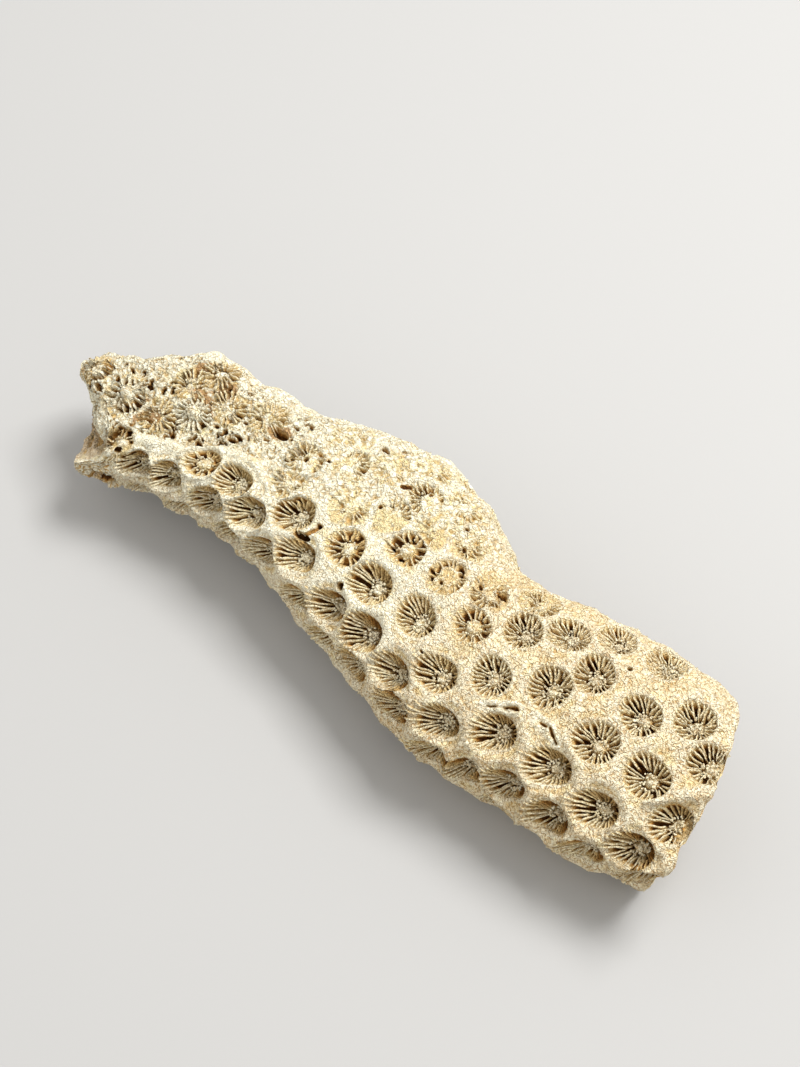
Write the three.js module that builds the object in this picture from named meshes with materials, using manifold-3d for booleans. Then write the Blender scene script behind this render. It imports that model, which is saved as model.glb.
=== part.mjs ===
// Fossil honeycomb coral: one broken length of branch, its surface covered in calices.
// Millimetres. X runs along the branch from its thin tip (-X) to its thick base (+X), -Y is the
// near flank, and the branch rests on Z = 0, with the origin under the middle of its footprint.
import * as THREE from 'three';
import { mergeVertices } from 'three/addons/utils/BufferGeometryUtils.js';
import Module from 'manifold-3d';

// ---------- driving dimensions ----------

// Cross-sections along the branch. Each is a squarish oval: its middle (y, z), half its width,
// half its height above and below the middle, its lean in degrees (far side up) and how square it is.
const sections = [
  { x: -43, y: 3.6, z: 8.8, width: 7.4, above: 4.1, below: 4.7, lean: 15, square: 2.2 },
  { x: -40, y: 4.3, z: 10.0, width: 7.6, above: 5.6, below: 5.2, lean: 12, square: 2.4 },
  { x: -38, y: 4.9, z: 10.3, width: 7.7, above: 5.6, below: 5.6, lean: 9, square: 2.5 },
  { x: -32, y: 7.9, z: 10.2, width: 9.6, above: 6.0, below: 6.0, lean: 10, square: 2.6 },
  { x: -24, y: 8.3, z: 9.8, width: 9.2, above: 6.6, below: 6.6, lean: 10, square: 2.5 },
  { x: -16, y: 8.4, z: 9.4, width: 9.9, above: 7.3, below: 7.3, lean: 10, square: 2.4 },
  { x: -8, y: 8.3, z: 9.2, width: 12.0, above: 8.0, below: 8.4, lean: 10, square: 2.4 },
  { x: 0, y: 7.4, z: 9.2, width: 13.4, above: 8.5, below: 9.4, lean: 11, square: 2.4 },
  { x: 8, y: 4.6, z: 9.2, width: 13.4, above: 8.6, below: 9.5, lean: 12, square: 2.4 },
  { x: 16, y: 1.0, z: 9.2, width: 12.0, above: 8.6, below: 9.5, lean: 14, square: 2.4 },
  { x: 24, y: 1.6, z: 9.0, width: 12.4, above: 8.6, below: 9.5, lean: 15, square: 2.5 },
  { x: 32, y: 1.5, z: 9.0, width: 12.7, above: 8.6, below: 9.5, lean: 15, square: 2.6 },
  { x: 40, y: 1.8, z: 9.0, width: 12.6, above: 8.6, below: 9.5, lean: 15, square: 2.7 },
  { x: 44, y: 2.0, z: 9.0, width: 11.6, above: 8.3, below: 9.1, lean: 15, square: 2.7 },
];

// The tip broke off slanting, with a short prong each side of a notch: x against y, near to far.
const tipBreak = [
  [-6, -38.2], [-4.7, -39.8], [-3.9, -40.1], [-3.3, -39.3], [-2.6, -37], [-1.9, -36.3],
  [-0.8, -36.9], [0.4, -38.6], [1.2, -39.8], [2.8, -41.2], [4.4, -43.4], [5.2, -45],
  [6.4, -45.6], [7.6, -45], [9.4, -44.7], [11.2, -44.2], [13, -43],
];
const tipOverhang = 0.1; // further out the lower down
const tipBreakReach = 12; // length over which the slant dies out
const baseBreakReach = 8;

// The broken base: it overhangs down to a height, and its far corner is knocked off.
const baseBreak = { x: 44.4, slant: -0.2, overhang: 0.28, overhangDownTo: 4, corner: 1.2 };

// Where the tip's upper face has lost its calices it lies a little lower.
const wornFace = { depth: 0.9, fullAt: -26, endsAt: -12, fromAngle: 38, toAngle: 128, edge: 16 };

// Calices. Each is [along, across]: along the branch in x, and across it as a distance over the
// surface from the crest, towards the near flank; a third number is how much larger it is.
const openCalices = [
  // beyond the crest
  [29, -10.5], [35, -11], [24.5, -7.5], [20, -5.5], [29.3, -4.9], [40, -6], [36, -3.5],
  // the crest
  [20, 1], [26, -1, 1.05], [33.5, 1.5, 1.08], [39, 2, 1.08], [42.5, -2.5],
  [2.2, 5.1, 1.15], [9, 3, 1.08], [14.5, 4.5, 1.05],
  // the near shoulder
  [-10.4, 4.2, 1.15], [-19, 4.5, 1.05], [-15.5, 7, 1.05], [-7.5, 8.3, 1.05], [-1, 10.8],
  [4.1, 9.9, 1.18], [9.6, 9.7], [17.5, 8.5], [23.5, 6.5], [30.5, 6.5], [37, 8], [40.5, 10], [42, 5],
  // the near flank
  [-40.5, 12], [-31, 9], [-27, 8.5], [-21, 8.5], [-17, 11.5], [-12, 10.5], [-5.8, 13.6],
  [4.5, 14.5], [11.5, 12.5], [18, 13.5], [22, 13.5], [27, 11.5], [33, 12], [37.5, 14.5], [42.5, 13.5],
];
const wornCalices = [
  [15, -2.5], [-23.7, 4.5], [-2.7, 4, 1.15], [3.5, -1, 1.1],
  [9.5, -3], [14.5, -6.5], [19.5, -10], [-13, -2], [1.8, -6.8], [-8.3, -4.7], [0, -2.3],
];

const caliceRadius = { tip: 1.9, base: 2.35 };
const caliceDepth = { open: 2, worn: 0.7 };
const caliceSides = 7;
const caliceLean = 0.3; // calices open a little towards the tip

// Hidden calices go on round the branch wherever there is room for one.
const hidden = {
  near: { from: 12, step: 0.9 },
  far: { from: -15.5, step: -0.9 },
  rows: 26,
  along: { from: -35, to: 41.5, step: 0.7 },
  gap: { tip: 4.9, base: 5.7 }, // between the middles of two calices
  clearance: 1.6, // above the face it rests on
};

const lengthSteps = 28;
const girthSteps = 34;
const walkSteps = 180;

// ---------- the branch ----------

const tipX = sections[0].x;
const baseX = sections[sections.length - 1].x;

const smooth = (value) => {
  const t = THREE.MathUtils.clamp(value, 0, 1);
  return t * t * (3 - 2 * t);
};

// A section between two of the list, on a curve that passes through them smoothly.
function sectionAt(x) {
  const last = sections.length - 1;
  let i = 0;
  while (i < last - 1 && sections[i + 1].x <= x) i += 1;
  const [a, b] = [sections[i], sections[i + 1]];
  const span = b.x - a.x;
  const t = (x - a.x) / span;
  const slope = (k, name) => {
    const before = sections[Math.max(k - 1, 0)];
    const after = sections[Math.min(k + 1, last)];
    return (after[name] - before[name]) / (after.x - before.x);
  };
  const result = { x };
  for (const name of ['y', 'z', 'width', 'above', 'below', 'lean', 'square']) {
    result[name] = (2 * t ** 3 - 3 * t ** 2 + 1) * a[name]
      + (t ** 3 - 2 * t ** 2 + t) * span * slope(i, name)
      + (3 * t ** 2 - 2 * t ** 3) * b[name]
      + (t ** 3 - t ** 2) * span * slope(i + 1, name);
  }
  return result;
}

function tipEdge(y) {
  const last = tipBreak.length - 1;
  if (y <= tipBreak[0][0]) return tipBreak[0][1];
  if (y >= tipBreak[last][0]) return tipBreak[last][1];
  const i = tipBreak.findIndex((point, k) => k < last && y < tipBreak[k + 1][0]);
  const [[y0, x0], [y1, x1]] = [tipBreak[i], tipBreak[i + 1]];
  return THREE.MathUtils.mapLinear(y, y0, y1, x0, x1);
}

function baseEdge(y, z) {
  const height = Math.max(z, baseBreak.overhangDownTo) - 9;
  const lean = baseBreak.slant * (y - 1) + baseBreak.overhang * height;
  return baseBreak.x + lean - baseBreak.corner * smooth((y - 8) / 4);
}

function wearAt(x, angle) {
  const along = smooth((wornFace.endsAt - x) / (wornFace.endsAt - wornFace.fullAt));
  const inside = Math.min(angle - wornFace.fromAngle, wornFace.toAngle - angle);
  return wornFace.depth * along * smooth(inside / wornFace.edge);
}

// A point on the surface: the angle is 90 at the crest and 180 on the near flank.
function surfacePoint(section, angle) {
  const radians = THREE.MathUtils.degToRad(angle);
  const lean = THREE.MathUtils.degToRad(section.lean);
  const [c, s] = [Math.cos(radians), Math.sin(radians)];
  const height = s > 0 ? section.above : section.below;
  const n = section.square;
  const reach = (Math.abs(c / section.width) ** n + Math.abs(s / height) ** n) ** (-1 / n);
  const radius = reach - wearAt(section.x, angle);
  const [u, v] = [radius * c, radius * s];
  const y = section.y + u * Math.cos(lean) - v * Math.sin(lean);
  const z = section.z + u * Math.sin(lean) + v * Math.cos(lean);
  const nearTip = smooth((tipX + tipBreakReach - section.x) / tipBreakReach);
  const nearBase = smooth((section.x - baseX + baseBreakReach) / baseBreakReach);
  const tip = tipEdge(y) + tipOverhang * (12 - z);
  const x = section.x + nearTip * (tip - tipX) + nearBase * (baseEdge(y, z) - baseX);
  return new THREE.Vector3(x, y, Math.max(z, 0));
}

// The angle whose distance over the surface from the crest is the one asked for,
// or null where the section isn't that far round.
function angleAcross(section, across) {
  const step = Math.sign(across) * 360 / walkSteps;
  let walked = 0;
  let angle = 90;
  let here = surfacePoint(section, angle);
  for (let k = 0; k < walkSteps / 2; k += 1) {
    const next = surfacePoint(section, angle + step);
    const stride = Math.hypot(next.y - here.y, next.z - here.z);
    if (walked + stride >= Math.abs(across)) {
      return angle + step * (Math.abs(across) - walked) / stride;
    }
    walked += stride;
    angle += step;
    here = next;
  }
  return null;
}

// A closed geometry from a list of points and triangles.
function closedGeometry(points, triangles) {
  const geometry = new THREE.BufferGeometry();
  geometry.setAttribute('position', new THREE.Float32BufferAttribute(points, 3));
  geometry.setIndex(triangles);
  return geometry;
}

function branchGeometry() {
  const points = [];
  const triangles = [];
  const ringMiddles = [];
  for (let i = 0; i <= lengthSteps; i += 1) {
    const section = sectionAt(THREE.MathUtils.lerp(tipX, baseX, i / lengthSteps));
    const middle = new THREE.Vector3();
    for (let j = 0; j < girthSteps; j += 1) {
      const point = surfacePoint(section, 360 * j / girthSteps);
      points.push(...point);
      middle.addScaledVector(point, 1 / girthSteps);
    }
    ringMiddles.push(middle);
  }
  for (let i = 0; i < lengthSteps; i += 1) {
    for (let j = 0; j < girthSteps; j += 1) {
      const [a, b] = [i * girthSteps + j, i * girthSteps + (j + 1) % girthSteps];
      triangles.push(a, b, a + girthSteps, b, b + girthSteps, a + girthSteps);
    }
  }
  const tipMiddle = points.length / 3;
  points.push(...ringMiddles[0], ...ringMiddles[lengthSteps]);
  for (let j = 0; j < girthSteps; j += 1) {
    const next = (j + 1) % girthSteps;
    const lastRing = lengthSteps * girthSteps;
    triangles.push(tipMiddle, next, j);
    triangles.push(tipMiddle + 1, lastRing + j, lastRing + next);
  }
  return closedGeometry(points, triangles);
}

// ---------- the calices ----------

// A size that grows evenly from the tip to the base.
function byPlace(along, size) {
  return THREE.MathUtils.mapLinear(along, tipX, baseX, size.tip, size.base);
}

// A calice's place on the surface: its middle, how large it is and the way it opens.
function calicePlace(along, across, size = 1) {
  const section = sectionAt(along);
  const angle = angleAcross(section, across);
  if (angle === null) return null;
  const middle = surfacePoint(section, angle);
  const ahead = surfacePoint(sectionAt(along + 0.5), angle).sub(middle);
  const around = surfacePoint(section, angle + 2).sub(middle);
  const opening = around.cross(ahead).normalize();
  opening.x -= caliceLean;
  const radius = byPlace(along, caliceRadius) * size;
  return { middle, radius, opening: opening.normalize() };
}

// The cutter for one calice: a cup with a pointed floor, its mouth standing clear of the surface.
function caliceCutter(place, depth) {
  const { radius } = place;
  const mouth = radius * 1.2;
  const profile = [[0, -depth], [radius * 0.62, -depth * 0.78], [mouth, 1], [0, 1]];
  const outline = profile.map(([r, h]) => new THREE.Vector2(r, h));
  const cup = new THREE.LatheGeometry(outline, caliceSides);
  const up = new THREE.Vector3(0, 1, 0);
  cup.applyQuaternion(new THREE.Quaternion().setFromUnitVectors(up, place.opening));
  cup.translate(...place.middle);
  return cup;
}

// Calices on the hidden sides, row by row, wherever there is room for one.
function hiddenPlaces(taken) {
  const added = [];
  const { from, to, step } = hidden.along;
  for (const side of [hidden.near, hidden.far]) {
    for (let row = 0; row < hidden.rows; row += 1) {
      for (let along = from; along <= to; along += step) {
        const place = calicePlace(along, side.from + row * side.step);
        if (!place || place.middle.z < hidden.clearance) continue;
        const gap = byPlace(along, hidden.gap);
        const isClear = (other) => other.middle.distanceTo(place.middle) >= gap;
        if (taken.every(isClear) && added.every(isClear)) added.push(place);
      }
    }
  }
  return added;
}

// ---------- solids ----------

const wasm = await Module();
wasm.setup();

function solid(geometry) {
  const bare = geometry.clone();
  bare.deleteAttribute('normal');
  bare.deleteAttribute('uv');
  const merged = mergeVertices(bare, 1e-4);
  return new wasm.Manifold(new wasm.Mesh({
    numProp: 3,
    vertProperties: merged.attributes.position.array,
    triVerts: new Uint32Array(merged.index.array),
  }));
}

function meshGeometry(body) {
  const { vertProperties, triVerts } = body.getMesh();
  const geometry = closedGeometry(vertProperties, Array.from(triVerts));
  geometry.computeVertexNormals();
  return geometry;
}

function coralGeometry() {
  const open = openCalices.map((calice) => calicePlace(...calice));
  const worn = wornCalices.map((calice) => calicePlace(...calice));
  const unseen = hiddenPlaces([...open, ...worn]);
  let body = solid(branchGeometry());
  for (const place of [...open, ...unseen]) {
    body = body.subtract(solid(caliceCutter(place, caliceDepth.open)));
  }
  for (const place of worn) body = body.subtract(solid(caliceCutter(place, caliceDepth.worn)));
  return meshGeometry(body);
}

// Puts the origin at the middle of the footprint, on the face it rests on.
function centreOnFootprint(geometry) {
  geometry.computeBoundingBox();
  const { min, max } = geometry.boundingBox;
  return geometry.translate(-(min.x + max.x) / 2, -(min.y + max.y) / 2, -min.z);
}

// ---------- the part ----------

const fossilCoral = new THREE.MeshStandardMaterial({ color: 0xcdb389, roughness: 0.92, metalness: 0 });

const coralBranch = new THREE.Mesh(centreOnFootprint(coralGeometry()), fossilCoral);
coralBranch.name = 'coral_branch';

const part = new THREE.Group();
part.add(coralBranch);

export default part;
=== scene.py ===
import itertools
import math
import random

import bpy
import numpy as np
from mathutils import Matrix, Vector, noise
from mathutils.kdtree import KDTree


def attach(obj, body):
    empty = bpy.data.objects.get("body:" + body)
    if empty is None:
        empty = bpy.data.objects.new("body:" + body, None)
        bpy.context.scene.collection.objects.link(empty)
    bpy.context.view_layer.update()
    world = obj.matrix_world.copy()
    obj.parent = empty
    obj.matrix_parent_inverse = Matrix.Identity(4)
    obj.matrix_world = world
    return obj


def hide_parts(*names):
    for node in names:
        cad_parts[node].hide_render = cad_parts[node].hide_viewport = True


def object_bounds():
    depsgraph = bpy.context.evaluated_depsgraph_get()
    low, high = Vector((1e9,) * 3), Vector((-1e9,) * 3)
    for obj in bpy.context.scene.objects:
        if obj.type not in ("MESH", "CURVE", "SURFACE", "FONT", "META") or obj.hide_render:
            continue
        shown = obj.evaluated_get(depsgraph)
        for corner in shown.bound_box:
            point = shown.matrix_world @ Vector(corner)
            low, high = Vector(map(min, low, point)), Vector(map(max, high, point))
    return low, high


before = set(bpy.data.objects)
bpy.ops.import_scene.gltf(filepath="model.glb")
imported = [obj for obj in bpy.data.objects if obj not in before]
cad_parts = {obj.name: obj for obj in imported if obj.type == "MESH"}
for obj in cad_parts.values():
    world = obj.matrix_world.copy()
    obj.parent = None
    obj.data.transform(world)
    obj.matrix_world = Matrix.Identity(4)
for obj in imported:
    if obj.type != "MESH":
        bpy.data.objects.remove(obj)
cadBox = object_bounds()
print("frame in:", list(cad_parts))

# Everything below is worked in millimetres in the branch's own axes: x from tip to base, z up.
mm = 0.001
dice = random.Random(11)


def held(value):
    return np.clip(value, 0.0, 1.0)


def smooth(value):
    t = held(value)
    return t * t * (3 - 2 * t)


def unit(vectors):
    return vectors / np.maximum(np.linalg.norm(vectors, axis=-1, keepdims=True), 1e-9)


def dots(a, b):
    return np.einsum("ij,ij->i", a, b)


def rowsOf(*columns):
    return np.stack(columns, axis=-1).reshape(-1, len(columns))


def treeOf(places):
    tree = KDTree(len(places))
    for number, place in enumerate(places.tolist()):
        tree.insert(place, number)
    tree.balance()
    return tree


# the branch, with the same sections as the construction model
branch = {
    # x, middle y and z, half width, height above and below the middle, lean, squareness
    "sections": [
        (-43, 3.6, 8.8, 7.4, 4.1, 4.7, 15, 2.2),
        (-40, 4.3, 10.0, 7.6, 5.6, 5.2, 12, 2.4),
        (-38, 4.9, 10.3, 7.7, 5.6, 5.6, 9, 2.5),
        (-32, 7.9, 10.2, 9.6, 6.0, 6.0, 10, 2.6),
        (-24, 8.3, 9.8, 9.2, 6.6, 6.6, 10, 2.5),
        (-16, 8.4, 9.4, 9.9, 7.3, 7.3, 10, 2.4),
        (-8, 8.3, 9.2, 12.0, 8.0, 8.4, 10, 2.4),
        (0, 7.4, 9.2, 13.4, 8.5, 9.4, 11, 2.4),
        (8, 4.6, 9.2, 13.4, 8.6, 9.5, 12, 2.4),
        (16, 1.0, 9.2, 12.0, 8.6, 9.5, 14, 2.4),
        (24, 1.6, 9.0, 12.4, 8.6, 9.5, 15, 2.5),
        (32, 1.5, 9.0, 12.7, 8.6, 9.5, 15, 2.6),
        (40, 1.8, 9.0, 12.6, 8.6, 9.5, 15, 2.7),
        (44, 2.0, 9.0, 11.6, 8.3, 9.1, 15, 2.7),
    ],
    # the broken tip's edge, y and x: a prong each side of a notch
    "tipBreak": [
        (-6, -38.2), (-4.7, -39.8), (-3.9, -40.1), (-3.3, -39.3), (-2.6, -37), (-1.9, -36.3),
        (-0.8, -36.9), (0.4, -38.6), (1.2, -39.8), (2.8, -41.2), (4.4, -43.4), (5.2, -45),
        (6.4, -45.6), (7.6, -45), (9.4, -44.7), (11.2, -44.2), (13, -43),
    ],
    "tipOverhang": 0.1,
    "tipLevel": 12,
    "tipReach": 12,
    "baseReach": 8,
    "baseEdge": 44.4,
    "baseMiddle": (1, 9),
    "baseSlant": -0.2,
    "baseOverhang": 0.28,
    "baseCorner": 1.2,
    "wornDepth": 0.9,       # how much lower the worn face at the tip lies
    "wornAlong": (-26, -12),
    "wornAngles": (38, 128),
    "wornEdge": 16,
    "lengthSteps": 118,
    "girthSteps": 84,
    "capRings": 9,
}
sectionTable = np.array(branch["sections"], float)
tipX, baseX = sectionTable[0, 0], sectionTable[-1, 0]


def sectionAt(x):
    xs, values = sectionTable[:, 0], sectionTable[:, 1:]
    order = np.arange(len(xs))
    before, after = np.maximum(order - 1, 0), np.minimum(order + 1, order[-1])
    slope = (values[after] - values[before]) / (xs[after] - xs[before])[:, None]
    i = np.clip(np.searchsorted(xs, x, side="right") - 1, 0, len(xs) - 2)
    span = xs[i + 1] - xs[i]
    t = ((x - xs[i]) / span)[..., None]
    span = span[..., None]
    return ((2 * t**3 - 3 * t**2 + 1) * values[i] + (t**3 - 2 * t**2 + t) * span * slope[i]
            + (3 * t**2 - 2 * t**3) * values[i + 1] + (t**3 - t**2) * span * slope[i + 1])


def baseFace(y, z):  # where the break at the base stands
    middleY, middleZ = branch["baseMiddle"]
    return (branch["baseEdge"] + branch["baseSlant"] * (y - middleY)
            + branch["baseOverhang"] * np.maximum(z - middleZ, -5)
            - branch["baseCorner"] * smooth((y - 8) / 4))


def tipFace(y, z):
    edgeY, edgeX = np.array(branch["tipBreak"], float).T
    return np.interp(y, edgeY, edgeX) + branch["tipOverhang"] * (branch["tipLevel"] - z)


def surfaceAt(x, angle):  # the angle is 90 on the crest and 180 on the near flank
    x, angle = np.broadcast_arrays(np.asarray(x, float), np.asarray(angle, float))
    y0, z0, width, above, below, lean, square = np.moveaxis(sectionAt(x), -1, 0)
    c, s = np.cos(np.radians(angle)), np.sin(np.radians(angle))
    height = np.where(s > 0, above, below)
    reach = (np.abs(c / width) ** square + np.abs(s / height) ** square) ** (-1 / square)
    start, end = branch["wornAlong"]
    inside = np.minimum(angle - branch["wornAngles"][0], branch["wornAngles"][1] - angle)
    worn = branch["wornDepth"] * smooth((end - x) / (end - start))
    reach = reach - worn * smooth(inside / branch["wornEdge"])
    u, v = reach * c, reach * s
    lean = np.radians(lean)
    y = y0 + u * np.cos(lean) - v * np.sin(lean)
    z = z0 + u * np.sin(lean) + v * np.cos(lean)
    nearTip = smooth((tipX + branch["tipReach"] - x) / branch["tipReach"])
    nearBase = smooth((x - baseX + branch["baseReach"]) / branch["baseReach"])
    outX = x + nearTip * (tipFace(y, z) - tipX) + nearBase * (baseFace(y, z) - baseX)
    return np.stack([outX, y, np.maximum(z, 0)], axis=-1)


def smoothBranch():
    # columns: place, how far along, distance across from the crest, how much it is a broken end
    rings, girth = branch["lengthSteps"], branch["girthSteps"]
    along = np.linspace(tipX, baseX, rings + 1)
    angle = np.arange(girth) * 360 / girth
    grid = surfaceAt(along[:, None], angle[None, :])
    stride = np.diff(np.concatenate([grid, grid[:, :1]], axis=1), axis=1)[..., 1:]
    walked = np.cumsum(np.linalg.norm(stride, axis=-1), axis=1)
    walked = np.concatenate([np.zeros((rings + 1, 1)), walked], axis=1)
    crest = girth // 4
    across = walked[:, :-1] - walked[:, crest:crest + 1]
    across[:, np.arange(girth) > girth * 3 // 4] -= walked[:, -1:]
    alongAll = np.broadcast_to(along[:, None], across.shape)
    rows = [np.dstack([grid, alongAll, across, np.zeros_like(across)])]
    tube = np.arange((rings + 1) * girth).reshape(rings + 1, girth)
    turned = np.roll(tube, -1, axis=1)
    tris = [rowsOf(tube[:-1], turned[:-1], tube[1:]), rowsOf(turned[:-1], turned[1:], tube[1:])]
    count = tube.size
    for ring in (0, rings):
        middle = rows[0][ring].mean(axis=0)
        last = tube[ring]
        for k in range(1, branch["capRings"] + 1):
            shrink = 1 - k / branch["capRings"]
            cap = rows[0][ring].copy()
            cap[:, :3] = middle[:3] + (cap[:, :3] - middle[:3]) * shrink
            cap[:, 5] = 1 - shrink
            now = np.arange(count, count + girth)
            if k == branch["capRings"]:     # all of them meet in the middle
                middle[5] = 1
                cap = middle[None]
                now = np.full(girth, count)
            rows.append(cap[None])
            count += len(cap)
            lastNext, nowNext = np.roll(last, -1), np.roll(now, -1)
            both = rowsOf(last, now, lastNext)
            if len(cap) > 1:
                both = np.concatenate([both, rowsOf(lastNext, now, nowNext)])
            tris.append(both if ring == 0 else both[:, ::-1])
            last = now
    return np.concatenate([row.reshape(-1, 6) for row in rows]), np.concatenate(tris)


def cornerNormals(points, tris):
    a, b, c = points[tris[:, 0]], points[tris[:, 1]], points[tris[:, 2]]
    face = np.cross(b - a, c - a)
    total = np.zeros_like(points)
    for k, axis in itertools.product(range(3), range(3)):
        total[:, axis] += np.bincount(tris[:, k], weights=face[:, axis], minlength=len(points))
    return unit(total)


# where the corallites, called cups here, are and how each kind is worn
cups = {
    # along the branch, across it over the surface from the crest towards the near flank, and for
    # some how much larger they are
    "open": [
        (29, -10.5), (35, -11), (24.5, -7.5), (20, -5.5), (29.3, -4.9), (40, -6), (36, -3.5),
        (20, 1), (26, -1, 1.05), (33.5, 1.5, 1.08), (39, 2, 1.08), (2.2, 5.1, 1.15), (9, 3, 1.08),
        (14.5, 4.5, 1.05), (-10.4, 4.2, 1.15), (-19, 4.5, 1.05), (-15.5, 7, 1.05), (-7.5, 8.3, 1.05),
        (-1, 10.8), (4.1, 9.9, 1.18), (9.6, 9.7), (17.5, 8.5), (23.5, 6.5), (30.5, 6.5), (37, 8),
        (40.5, 10), (42.5, -2.5), (42, 5), (42.5, 13.5), (-31, 9), (-27, 8.5), (-21, 8.5),
        (-17, 11.5), (-12, 10.5), (-5.8, 13.6), (4.5, 14.5), (11.5, 12.5), (18, 13.5), (22, 13.5),
        (27, 11.5), (33, 12), (37.5, 14.5), (-40.5, 12),
    ],
    "worn": [(15, -2.5), (-23.7, 4.5), (-2.7, 4, 1.15), (3.5, -1, 1.1)],
    "rubbed": [(9.5, -3), (14.5, -6.5), (19.5, -10), (-13, -2), (1.8, -6.8), (-8.3, -4.7), (0, -2.3)],
    "broken": [(-32, 2), (-31, -3.3), (-25.5, -3), (-29, -6.5), (-20.8, -4.5), (-35.2, 6.4), (-40, -3)],
    "knob": [(-36, -0.2, 1.25), (-28.4, -0.2, 1.05)],
    "faint": [(-13, 1.5), (-10.3, -7.8), (-5, 0), (-4, -7), (0, -11), (5, -5), (9, -7.5), (6, -10)],
    "radius": (1.9, 2.35),      # tip, base
    "lean": 0.3,                # how far they open towards the tip
    "hiddenNear": (12, 0.9),    # where the filled-in rows begin, and the step between them
    "hiddenFar": (-15.5, -0.9),
    "hiddenRows": 26,
    "hiddenAlong": (-35, 41.5, 0.7),
    "gap": (4.9, 5.7),
    "clearance": 1.6,
    "slant": 0.55,              # on the flanks, how far the way they stand off turns to the crest
    "stretch": 0.12,            # and how much longer they are that way
    "fillTurn": -1.1,           # on the crest, the side where the pits are filled up
    "filled": 0.45,
    "lip": (0.1, 0.36),         # everywhere, and how much more at the tip
    "boss": (0.5, 0.7),
    # depth of the pit, height of its middle, how far its surroundings fall in, how steeply the
    # blades slope in, how far they rise in the middle, how far towards the base they meet, where the
    # pit's wall begins and ends, how many blades, how many grains in the middle
    "shape": {
        "open": (1.8, 1.1, 1.35, 1.0, 0, 0.34, 0.82, 1, 25, 44),
        "worn": (1.0, 0.8, 0.3, 0.45, 0, 0.15, 0.75, 1, 20, 34),
        "rubbed": (0.85, 0.7, 0.1, 0.25, 0, 0.1, 0.75, 1.05, 18, 24),
        "broken": (1.0, 0.85, 0, 0.25, 0, 0, 0.75, 1.15, 18, 16),
        "knob": (1.0, 1.2, 0, 0.6, 1.5, 0, 0.75, 1.0, 17, 26),
        "faint": (0.4, 0.4, 0, 0.1, 0, 0, 0.5, 1.2, 16, 14),
    },
}


def byPlace(along, sizes):
    return sizes[0] + (sizes[1] - sizes[0]) * (along - tipX) / (baseX - tipX)


def cup(along, across, kind, size=1):
    angles = 90 + math.copysign(1, across) * np.arange(91) * 2
    walk = surfaceAt(along, angles)
    walked = np.concatenate([[0], np.cumsum(np.hypot(*np.diff(walk[:, 1:], axis=0).T))])
    if abs(across) > walked[-1]:
        return None
    angle = np.interp(abs(across), walked, angles)
    middle, ahead, around = surfaceAt([along, along + 0.5, along], [angle, angle, angle + 2])
    outward = unit(np.cross(around - middle, ahead - middle))
    opening = unit(outward - np.array([cups["lean"], 0, 0]))
    level = unit(ahead - middle - np.dot(ahead - middle, outward) * outward)
    return {"middle": middle, "along": along, "across": across, "kind": kind, "size": size,
            "outward": outward, "opening": opening, "level": level, "side": np.cross(outward, level)}


def spotAt(along, across):
    return cup(along, across, "open")["middle"]


def placeCups():
    placed = []
    for kind in cups["shape"]:
        for along, across, *size in cups[kind]:
            placed.append(cup(along, across, kind, *size))
    middles = [one["middle"] for one in placed]
    start, end, step = cups["hiddenAlong"]
    for first, rowStep in (cups["hiddenNear"], cups["hiddenFar"]):
        for row in range(cups["hiddenRows"]):
            for along in np.arange(start, end, step):
                one = cup(along, first + row * rowStep, "open")
                if one is None or one["middle"][2] < cups["clearance"]:
                    continue
                away = np.linalg.norm(np.array(middles) - one["middle"], axis=1)
                if away.min() >= byPlace(along, cups["gap"]):
                    placed.append(one)
                    middles.append(one["middle"])
    return placed


placed = placeCups()

# each of their values as one array
columns = ("middle", "outward", "opening", "level", "side", "along", "across", "size")
middles, outwards, openings, levels, sides, alongs, acrosses, scales = (
    np.array([one[key] for one in placed]) for key in columns)
nearest = treeOf(middles)
radii = byPlace(alongs, cups["radius"]) * scales
shapes = np.array([cups["shape"][one["kind"]] for one in placed], float).T
pitDepths, middleHeights, fallIns, slopes, rises, shifts, wallStarts, wallEnds = shapes[:8]
bladeCounts, grainCounts = shapes[8:].astype(int).tolist()
flank = smooth((acrosses - 1) / 6)      # 0 on the crest, 1 on the near flank
farFlank = smooth((-3 - acrosses) / 5)
fallIns = fallIns * (0.25 + 0.75 * flank)
shifts = shifts * (0.35 + 0.65 * np.maximum(flank, 0.6 * farFlank))
slants = cups["slant"] * np.clip(acrosses / 6, -1, 1)
shiftU, shiftV = shifts * np.cos(slants), shifts * np.sin(slants)
stretches = cups["stretch"] * flank
slopes = slopes * (1 + 0.3 * flank)
fills = (1 - flank) * (1 - farFlank) * (fallIns > 0)
lips = np.where(fallIns > 0, cups["lip"][0] + cups["lip"][1] * smooth((-8 - alongs) / 8), 0)
phases = np.array([dice.uniform(0, 6.28) for one in placed])
looseKinds = np.array([one["kind"] in ("rubbed", "broken", "faint") for one in placed])
print("cups placed:", len(placed))


def cellsAt(places):
    # which cup each point belongs to, its polar place there, and 0 to 1 from middle to wall crest
    found = [nearest.find_n(place, 2) for place in places.tolist()]
    cell = np.array([pair[0][1] for pair in found])
    first = np.array([pair[0][2] for pair in found])
    second = np.array([pair[1][2] for pair in found])
    offset = places - middles[cell]
    u = dots(offset, levels[cell]) / radii[cell]
    v = dots(offset, sides[cell]) / radii[cell]
    turn, t = inCup(cell, u, v)
    crest = held(np.maximum(2 * first / (first + second), first / (1.5 * radii[cell])))
    return cell, turn, t, crest


def outline(cell, turn):
    return (1 + 0.05 * np.cos(2 * turn + phases[cell]) + 0.03 * np.cos(3 * turn - 2 * phases[cell])
            + stretches[cell] * np.cos(2 * (turn - slants[cell])))


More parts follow.
